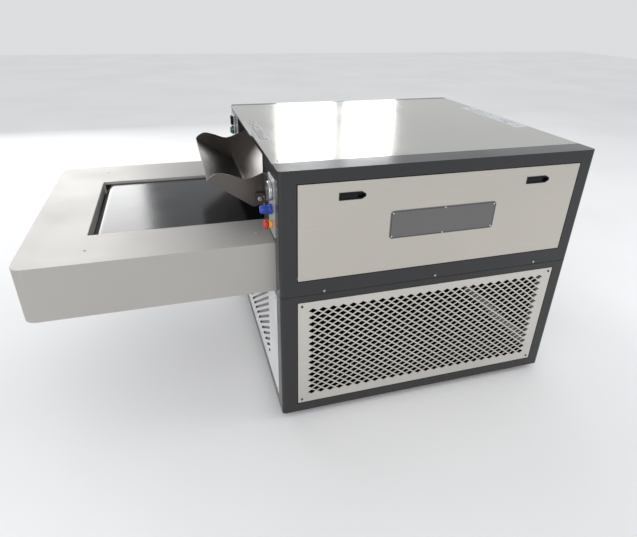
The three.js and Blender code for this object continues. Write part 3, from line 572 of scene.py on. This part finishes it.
def add_grille_border(bm, vert, low, high, centres):
    """Fills from the zigzag rim of the diamond field out to the sheet's straight edges."""
    half_x, half_z = GRILLE["pitch_x"] / 2, GRILLE["pitch_z"] / 2
    xs = sorted({round(x, 6) for x, _ in centres})[::2]
    zs = sorted({round(z, 6) for _, z in centres})[::2]
    left, right = xs[0] - half_x, xs[-1] + half_x
    bottom, top = zs[0] - half_z, zs[-1] + half_z
    for edge_z, inner_z in ((bottom, zs[0]), (top, zs[-1])):
        for a, b in zip(xs, xs[1:]):
            bm.faces.new((vert(a, edge_z), vert(b, edge_z), vert((a + b) / 2, inner_z)))
    for edge_x, inner_x in ((left, xs[0]), (right, xs[-1])):
        for a, b in zip(zs, zs[1:]):
            bm.faces.new((vert(edge_x, a), vert(edge_x, b), vert(inner_x, (a + b) / 2)))
    corners = [(left, bottom, xs[0], zs[0]), (right, bottom, xs[-1], zs[0])]
    corners += [(right, top, xs[-1], zs[-1]), (left, top, xs[0], zs[-1])]
    for x, z, tip_x, tip_z in corners:
        bm.faces.new((vert(x, z), vert(tip_x, z), vert(x, tip_z)))
    below = [(left, bottom)] + [(x, bottom) for x in xs] + [(right, bottom)]
    above = [(left, top)] + [(x, top) for x in xs] + [(right, top)]
    before = [(left, bottom)] + [(left, z) for z in zs] + [(left, top)]
    after = [(right, bottom)] + [(right, z) for z in zs] + [(right, top)]
    a, b = (low.x, low.z), (high.x, low.z)
    c, d = (high.x, high.z), (low.x, high.z)
    for line, ends in ((below, (b, a)), (above, (c, d)), (before, (d, a)), (after, (c, b))):
        bm.faces.new([vert(*point) for point in [*line, *ends]])


def extrude_back(bm, thickness):
    """Gives a flat sheet its thickness towards +Y."""
    made = bmesh.ops.extrude_face_region(bm, geom=list(bm.faces), use_keep_orig=True)
    for item in made["geom"]:
        if isinstance(item, bmesh.types.BMVert):
            item.co.y += thickness


def folded_edges(low, high):
    """The four edges folded back behind a front sheet."""
    front, back = low.y + SHEET, high.y
    return [
        ((low.x, front, low.z), (low.x + SHEET, back, high.z)),
        ((high.x - SHEET, front, low.z), (high.x, back, high.z)),
        ((low.x + SHEET, front, low.z), (high.x - SHEET, back, low.z + SHEET)),
        ((low.x + SHEET, front, high.z - SHEET), (high.x - SHEET, back, high.z)),
    ]


def louvre_shade_sheets(name, node, axis, inward):
    """Two thin sheets of painted shade behind a panel's slots: a grey one that shows through them as their
    shade, and a black one inside as the dark of the cabinet.
    """
    low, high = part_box(node)
    inset = Vector((SHADE_SHEET["inset"],) * 3)
    outer = low if inward > 0 else high
    layers = (("_grey_shade", SHADE_SHEET["depth"], SHADOW_GREY), ("_black_shade", SHADE_SHEET["black_shade_depth"], PAINTED_SHADE_BLACK))
    for suffix, depth, material in layers:
        start, end = low + inset, high - inset
        faces = [outer[axis] + inward * depth, outer[axis] + inward * (depth + SHADE_SHEET["thick"])]
        start[axis], end[axis] = min(faces), max(faces)
        bm = bmesh.new()
        add_box(bm, start, end, 0.3 * MM)
        piece(name + suffix, bm, "cabinet", "white_paint", material)


# ---------------------------------------------------------------- fasteners

PANEL_SCREW_INSET = 16 * MM
SEAM = {
    "screw_shares": (0.133, 0.499, 0.866), "screw_rise": 9 * MM,
    "proud": 0.15 * MM, "sunk": 1 * MM, "half": 1.5 * MM, "corner": 12 * MM, "corner_steps": 8,
}
TABLE_SCREW = {"past_belt": 2 * MM, "from_cabinet": 45 * MM, "from_front": 86 * MM, "from_back": 89 * MM}


def corner_screws(name, node, normal, inset=PANEL_SCREW_INSET, radius=SCREW_RADIUS, material=None):
    """A screw in each corner of the face of a panel that looks along the normal."""
    low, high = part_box(node)
    axis = max(range(3), key=lambda i: abs(normal[i]))
    face = high[axis] if normal[axis] > 0 else low[axis]
    screws(name, corner_points(low, high, inset, axis, face), normal, radius, material)


def all_screws():
    corner_screws("grille_screws", "front_vent_grille", -Y, 14 * MM, 4.5 * MM, SCREW_DARK)
    corner_screws("left_louvre_screws", "left_louvre_panel", -X)
    corner_screws("right_louvre_screws", "right_louvre_panel", X)
    corner_screws("rear_vent_panel_screws", "rear_vent_panel", Y)
    corner_screws("rear_upper_panel_screws", "rear_upper_panel", Y)
    corner_screws("outfeed_panel_screws", "outfeed_panel", X)
    seam_screws()
    seam_shadow()
    table_screws()
    corner_screws("roof_screws", "top_cover", Z, 22 * MM, 3.5 * MM)


def seam_screws():
    """Three screws in the front, just above the joint between the two frames."""
    low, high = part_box("upper_frame")
    height = low.z + SEAM["screw_rise"]
    wide = high.x - low.x
    places = [Vector((low.x + share * wide, low.y, height)) for share in SEAM["screw_shares"]]
    screws("seam_screws", places, -Y)


def seam_shadow():
    """The dark joint line where the upper cabinet sits on the base, all the way round."""
    low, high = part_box("upper_frame")
    middle = (low + high) / 2
    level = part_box("base_frame")[1].z
    outline = []
    corners = ((high.x, high.y, 0), (low.x, high.y, 90), (low.x, low.y, 180), (high.x, low.y, 270))
    for x, y, start in corners:
        centre_x = x - math.copysign(SEAM["corner"], x - middle.x)
        centre_y = y - math.copysign(SEAM["corner"], y - middle.y)
        for step in range(SEAM["corner_steps"] + 1):
            angle = math.radians(start + 90 * step / SEAM["corner_steps"])
            outline.append((centre_x, centre_y, math.cos(angle), math.sin(angle)))
    rings = []
    for grow, side in ((-SEAM["sunk"], -1), (SEAM["proud"], -1), (SEAM["proud"], 1), (-SEAM["sunk"], 1)):
        reach, height = SEAM["corner"] + grow, level + side * SEAM["half"]
        rings.append([Vector((x + reach * c, y + reach * s, height)) for x, y, c, s in outline])
    band_piece("seam_shadow", rings, "cabinet", "frame_grey", PAINTED_SHADE_BLACK)


def table_screws():
    low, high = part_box("infeed_table")
    belt_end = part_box("conveyor_belt")[0].x
    places = []
    for x in (belt_end - TABLE_SCREW["past_belt"], high.x - TABLE_SCREW["from_cabinet"]):
        for y in (low.y + TABLE_SCREW["from_front"], high.y - TABLE_SCREW["from_back"]):
            places.append(Vector((x, y, high.z)))
    screws("table_screws", places, Z, 3.5 * MM)


# ---------------------------------------------------------------- table well

RIM = {
    "below": 0.4 * MM, "depth": 10 * MM, "end_depth": 42 * MM, "thick": 1.2 * MM,
    "corner": 8 * MM, "nose_gap": 9.4 * MM, "cabinet_gap": 1 * MM,
}


def add_wall(bm, path, thick, bottom, top):
    """An upright sheet that follows a plan path and grows to the left of it."""
    rings = []
    for i, (x, y) in enumerate(path):
        before, after = path[max(i - 1, 0)], path[min(i + 1, len(path) - 1)]
        along = Vector((after[0] - before[0], after[1] - before[1])).normalized()
        across = Vector((-along.y, along.x)) * thick
        inner_x, inner_y = x + across.x, y + across.y
        rings.append([
            Vector((x, y, bottom)), Vector((x, y, top)),
            Vector((inner_x, inner_y, top)), Vector((inner_x, inner_y, bottom)),
        ])
    add_rings(bm, rings)


def quarter(middle, radius, start):
    """Points on a quarter circle, turning clockwise from a start angle."""
    steps = 8
    angles = [start - math.pi / 2 * i / steps for i in range(steps + 1)]
    return [(middle[0] + radius * math.cos(a), middle[1] + radius * math.sin(a)) for a in angles]


def well_rim():
    """The folded edge round the belt opening, its deeper end plate, and under that a black wall of painted
    shade.
    """
    near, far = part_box("conveyor_rail_front")[1].y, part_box("conveyor_rail_rear")[0].y
    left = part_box("conveyor_belt")[0].x - RIM["nose_gap"]
    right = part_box("upper_frame")[0].x - RIM["cabinet_gap"]
    top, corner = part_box("infeed_table")[1].z - RIM["below"], RIM["corner"]
    fold, end_fold = top - RIM["depth"], top - RIM["end_depth"]
    path = [(right, near)]
    path += quarter((left + corner, near + corner), corner, -math.pi / 2)
    path += quarter((left + corner, far - corner), corner, math.pi)
    path += [(right, far)]
    bm = bmesh.new()
    add_wall(bm, path, -RIM["thick"], fold, top)
    add_wall(bm, [(left, near + corner), (left, far - corner)], -RIM["thick"], end_fold, fold)
    piece("well_rim", bm, "cabinet", "brushed_sheet", RIM_STEEL)
    # a black wall of painted shade where the end of the well lies in shadow
    bm = bmesh.new()
    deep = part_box("conveyor_rail_front")[0].z
    add_wall(bm, [(left, near), (left, far)], -RIM["thick"], deep, end_fold)
    piece("well_end_painted_shade", bm, "cabinet", "frame_grey", PAINTED_SHADE_BLACK)


# ---------------------------------------------------------------- front panel fittings

PLATE = {"chamfer": 7 * MM, "sunk": 0.5 * MM, "rivet": 3.2 * MM, "rivet_in": 8 * MM, "rivet_edge": 4 * MM}


def nameplate():
    """A blank grey plate with a raised rim, a fine inner line and six rivets."""
    low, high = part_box("nameplate")

    def outline(inset, y):
        cut = PLATE["chamfer"] - inset * 0.4
        left, right = low.x + inset, high.x - inset
        bottom, top = low.z + inset, high.z - inset
        points = [(left + cut, bottom), (right - cut, bottom), (right, bottom + cut), (right, top - cut),
                  (right - cut, top), (left + cut, top), (left, top - cut), (left, bottom + cut)]
        return [Vector((x, y, z)) for x, z in points]

    rim, floor = low.y, low.y + PLATE["sunk"]
    steps = [(0, high.y), (0, rim + 0.3 * MM), (0.4 * MM, rim), (1.6 * MM, rim), (2 * MM, floor)]
    bm = bmesh.new()
    add_rings(bm, [outline(inset, y) for inset, y in steps])
    piece("nameplate_blank", bm, "front_door", "plate_grey", replaces=["nameplate"])
    line = floor - 0.2 * MM
    border = [(1.8 * MM, floor), (1.8 * MM, line), (4.4 * MM, line), (4.4 * MM, floor)]
    rings = [outline(inset, y) for inset, y in border]
    band_piece("nameplate_border", rings, "front_door", "black_plastic", INK_DARK)
    nameplate_rivets(low, high, floor)


def nameplate_rivets(low, high, floor):
    inset = PLATE["rivet_in"]
    across = ((low.x + inset, inset), ((low.x + high.x) / 2, PLATE["rivet_edge"]), (high.x - inset, inset))
    bm = bmesh.new()
    for z, into in ((low.z, 1), (high.z, -1)):
        for x, rise in across:
            add_screw(bm, Vector((x, floor, z + into * rise)), -Y, PLATE["rivet"], socket=False)
    piece("nameplate_rivets", bm, "front_door", "bright_steel")


# ---------------------------------------------------------------- controls

DIAL = {"face": 0.8, "depth": 4 * MM, "sweep": 270, "ticks": 40, "long_every": 4, "ink": 0.12 * MM}
STOP_STEM_LENGTH = 10 * MM
ROCKER_FRAME = {"inner": (9.8 * MM, 15.8 * MM), "outer": (13.6 * MM, 19.6 * MM), "proud": 0.5 * MM}
START_RING = {"gap": 0.4 * MM, "reach": 3.9 * MM, "behind": 6.4 * MM, "bevel": 1 * MM}
PLATE_SCREW = {"inset": 6 * MM, "radius": 2.4 * MM}
CONTROL_LABEL = {"half": 30 * MM, "thick": 0.3 * MM, "low": 11 * MM, "high": 3 * MM}


def facing_left(node):
    """A left-face fitting's frame at its seat, +Z out of the face, with its depth and radius."""
    low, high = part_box(node)
    middle = (low + high) / 2
    return facing(-X, Vector((high.x, middle.y, middle.z))), high.x - low.x, (high.z - low.z) / 2


def gauge():
    seat, depth, radius = facing_left("gauge_case")
    face, dial = DIAL["face"] * radius, DIAL["depth"]
    turned_piece("gauge_bezel", [
        (radius * 0.9, 0), (radius * 0.97, 1 * MM), (radius, 2.5 * MM), (radius, depth - 3 * MM),
        (radius * 0.985, depth - 1.2 * MM), (radius * 0.94, depth), (radius * 0.86, depth),
        (face, depth - 1 * MM), (face, dial),
    ], seat, "cabinet", "bright_steel", 64, replaces=["gauge_case"])
    disc = face - 0.2 * MM
    turned_piece("gauge_dial", [(disc, dial - 0.1 * MM), (disc, dial + 0.1 * MM)],
                 seat, "cabinet", "white_paint", 64, material=DIAL_WHITE)
    bm = bmesh.new()
    for step in range(DIAL["ticks"] + 1):
        angle = DIAL["sweep"] * (step / DIAL["ticks"] - 0.5)
        turn = seat @ Matrix.Rotation(math.radians(angle), 4, "Z")
        inner, width = (0.72, 0.5 * MM) if step % DIAL["long_every"] == 0 else (0.82, 0.25 * MM)
        add_tick(bm, turn, face * inner, face * 0.92, width, dial + 0.22 * MM)
    piece("gauge_scale", bm, "cabinet", "black_plastic", INK_DARK)


def add_tick(bm, matrix, start, end, width, height):
    """A thin bar along the frame's +Y, standing just off the dial."""
    corners = []
    for z in (height - DIAL["ink"], height):
        for x, y in ((-width, start), (width, start), (width, end), (-width, end)):
            corners.append(bm.verts.new(matrix @ Vector((x, y, z))))
    for a, b, c, d in ((0, 3, 2, 1), (4, 5, 6, 7), (0, 1, 5, 4), (1, 2, 6, 5), (2, 3, 7, 6), (3, 0, 4, 7)):
        bm.faces.new((corners[a], corners[b], corners[c], corners[d]))


def ribs(count, depth):
    """Radius factor for a grip with a number of grooves."""
    return lambda angle: 1 - depth * (0.5 - 0.5 * math.cos(count * angle)) ** 2


def regulator():
    seat, depth, radius = facing_left("regulator_body")
    turned_piece("regulator_ring", [
        (radius * 0.86, 0), (radius * 0.98, 0.8 * MM, True), (radius, 2 * MM, True),
        (radius, depth - 4 * MM, True), (radius * 0.96, depth - 3 * MM, True),
        (radius * 0.8, depth - 2.5 * MM), (radius * 0.74, depth),
    ], seat, "cabinet", "blue_plastic", 160, ribs(20, 0.09), replaces=["regulator_body"])
    seat, depth, radius = facing_left("regulator_knob")
    turned_piece("regulator_grip", [
        (radius * 0.9, 0), (radius * 0.99, 1 * MM, True), (radius, 2 * MM, True),
        (radius, depth - 9 * MM, True), (radius * 0.97, depth - 7.5 * MM),
        (radius * 0.9, depth - 6.5 * MM), (radius * 0.88, depth - 2 * MM),
        (radius * 0.82, depth - 0.5 * MM), (radius * 0.74, depth), (radius * 0.2, depth),
    ], seat, "regulator", "blue_plastic", 160, ribs(24, 0.05), replaces=["regulator_knob"])


def stop_button():
    seat, depth, radius = facing_left("estop_collar")
    turned_piece("stop_collar", [
        (radius * 0.96, 0), (radius, 0.8 * MM), (radius, depth - 3.5 * MM),
        (radius * 0.97, depth - 1.6 * MM), (radius * 0.88, depth - 0.3 * MM), (radius * 0.8, depth),
        (radius * 0.71, depth - 0.6 * MM), (radius * 0.71, 1.2 * MM),
    ], seat, "cabinet", "yellow_plastic", 64, replaces=["estop_collar"])
    seat, depth, radius = facing_left("estop_head")
    stem, under = radius * 0.5, STOP_STEM_LENGTH
    crown = [
        (0.93, 0), (0.99, 0.07), (1, 0.17), (1, 0.48), (0.97, 0.65), (0.88, 0.83), (0.72, 0.91),
        (0.7, 0.87), (0.62, 0.87), (0.6, 0.94), (0.4, 0.98), (0.15, 1),
    ]
    profile = [(stem * 0.9, 0), (stem, 0.6 * MM), (stem, under - 1 * MM), (stem * 1.1, under)]
    profile += [(radius * reach, under + (depth - under) * rise) for reach, rise in crown]
    turned_piece("stop_mushroom", profile, seat, "estop", "red_plastic", 72, replaces=["estop_head"])


def start_button():
    seat, depth, radius = facing_left("start_button")
    turned_piece("start_cap", [
        (radius * 0.98, 0), (radius, 0.4 * MM), (radius, depth - 1.4 * MM),
        (radius * 0.95, depth - 0.4 * MM), (radius * 0.86, depth), (radius * 0.7, depth - 0.5 * MM),
        (radius * 0.4, depth - 0.9 * MM), (radius * 0.1, depth - 1 * MM),
    ], seat, "start", "green_plastic", 56, replaces=["start_button"])


def switch_bezels():
    """A black frame round the rocker and a green ring round the start button."""
    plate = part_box("control_plate_rear")
    seat = plate[1].x - SHEET - 0.4 * MM
    rocker_frame(seat, plate[0].x - ROCKER_FRAME["proud"])
    start_ring(seat)


def rocker_frame(seat, front):
    low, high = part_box("rocker_switch")
    middle = (low + high) / 2
    bevel = 1 * MM
    inner_y, inner_z = ROCKER_FRAME["inner"]
    outer_y, outer_z = ROCKER_FRAME["outer"]
    steps = [
        (seat, inner_y, inner_z), (seat, outer_y, outer_z), (front + bevel, outer_y, outer_z),
        (front, outer_y - bevel, outer_z - bevel), (front, inner_y, inner_z),
    ]
    rings = [[Vector((x, middle.y + a * y, middle.z + b * z)) for a, b in SQUARE] for x, y, z in steps]
    band_piece("rocker_bezel", rings, "cabinet", "black_plastic")


def start_ring(seat):
    low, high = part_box("start_button")
    middle = (low + high) / 2
    inner = (high.z - low.z) / 2 + START_RING["gap"]
    outer = (high.z - low.z) / 2 + START_RING["reach"]
    depth = seat - low.x - START_RING["behind"]
    hub = facing(-X, Vector((seat, middle.y, middle.z)))
    bevel = START_RING["bevel"]
    profile = [(inner, 0), (outer, 0), (outer, depth - bevel), (outer - 0.9 * bevel, depth), (inner, depth)]
    rings = [[hub @ point for point in ring(reach, height, 64)] for reach, height in profile]
    band_piece("start_ring", rings, "cabinet", "green_plastic")


def plate_fittings():
    for node in ("control_plate_front", "control_plate_rear"):
        low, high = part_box(node)
        places = corner_points(low, high, PLATE_SCREW["inset"], 0, high.x - SHEET)
        screws(node + "_screws", places, -X, PLATE_SCREW["radius"])
    low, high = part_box("control_plate_front")
    face = high.x - SHEET
    middle = (low.y + high.y) / 2
    start = (face - CONTROL_LABEL["thick"], middle - CONTROL_LABEL["half"], high.z - CONTROL_LABEL["low"])
    end = (face, middle + CONTROL_LABEL["half"], high.z - CONTROL_LABEL["high"])
    blank_label("control_label", start, end, LABEL_PALE)


def blank_label(name, low, high, material):
    bm = bmesh.new()
    add_box(bm, low, high, 0.08 * MM, 1)
    piece(name, bm, "cabinet", "anodised", material)


# ---------------------------------------------------------------- roof labels

FILM = 0.25 * MM
LABEL_INSET = 6 * MM
BAR = {"rows": (0.3, 0.5, 0.7), "half": 1.6 * MM, "thick": 0.06 * MM, "gap": 6 * MM, "chance": 0.55}


def roof_labels():
    """Two pale film labels along the side edges, each with plain bars in place of wording."""
    low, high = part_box("top_cover")
    deep = high.y - low.y
    near, far = low.y + 0.275 * deep, low.y + 0.675 * deep
    left, right = low.x + LABEL_INSET, high.x - LABEL_INSET
    label_with_bars("roof_label_left", left, left + 48 * MM, near, far, high.z, LABEL_SILVER)
    near, far = near + 10 * MM, far + 60 * MM
    label_with_bars("roof_label_right", right - 56 * MM, right, near, far, high.z, LABEL_PALE)


def label_with_bars(name, left, right, near, far, top, material):
    face = top + FILM
    blank_label(name, (left, near, top), (right, far, face), material)
    rng = random.Random(name)
    bm = bmesh.new()
    for share in BAR["rows"]:
        middle = left + share * (right - left)
        y = near + 0.06 * (far - near)
        while y < far - 0.1 * (far - near):
            length = rng.uniform(8, 34) * MM
            if rng.random() < BAR["chance"]:
                end = min(y + length, far - 8 * MM)
                start = (middle - BAR["half"], y, face)
                add_box(bm, start, (middle + BAR["half"], end, face + BAR["thick"]))
            y += length + BAR["gap"]
    piece(name + "_bars", bm, "cabinet", "black_plastic", INK_DARK)


# ---------------------------------------------------------------- guard fittings

GUARD_PIVOT = {"from_cabinet": 11.7 * MM, "from_side": 3 * MM}
WASHER = [(8 * MM, 0), (8 * MM, 1 * MM), (7.6 * MM, 1.3 * MM), (4.6 * MM, 1.3 * MM)]
NUT = [(6.5 * MM, 1.4 * MM, True), (6.5 * MM, 5.4 * MM, True), (5.6 * MM, 6 * MM)]
BRACKET_SCREW = {"radius": 3 * MM, "from_edge": 9 * MM}


def guard_fittings():
    """A washer and a nut on each pivot of the guard, and two screws in each bracket."""
    for side, outward in (("front", -Y), ("rear", Y)):
        low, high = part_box(f"guard_bracket_{side}")
        middle = (low + high) / 2
        inner = high.y if side == "front" else low.y
        ear_y = inner + outward.y * GUARD_PIVOT["from_side"]
        pivot = facing(outward, Vector((high.x - GUARD_PIVOT["from_cabinet"], ear_y, middle.z)))
        turned_piece(f"guard_washer_{side}", WASHER, pivot, "guard", "bright_steel", 40)
        turned_piece(f"guard_nut_{side}", NUT, pivot, "guard", "bright_steel", 48, hexagon)
        edge = BRACKET_SCREW["from_edge"]
        places = [Vector((high.x - SHEET, middle.y, z)) for z in (low.z + edge, high.z - edge)]
        screws(f"guard_bracket_{side}_screws", places, -X, BRACKET_SCREW["radius"])


make_camera()
make_light()
make_floor()
dress_cad_nodes()
perforated_grille()
louvre_shade_sheets("left_louvre", "left_louvre_panel", 0, 1)
louvre_shade_sheets("right_louvre", "right_louvre_panel", 0, -1)
louvre_shade_sheets("rear_vent", "rear_vent_panel", 1, -1)
well_rim()
all_screws()
nameplate()
gauge()
regulator()
stop_button()
start_button()
switch_bezels()
plate_fittings()
roof_labels()
guard_fittings()
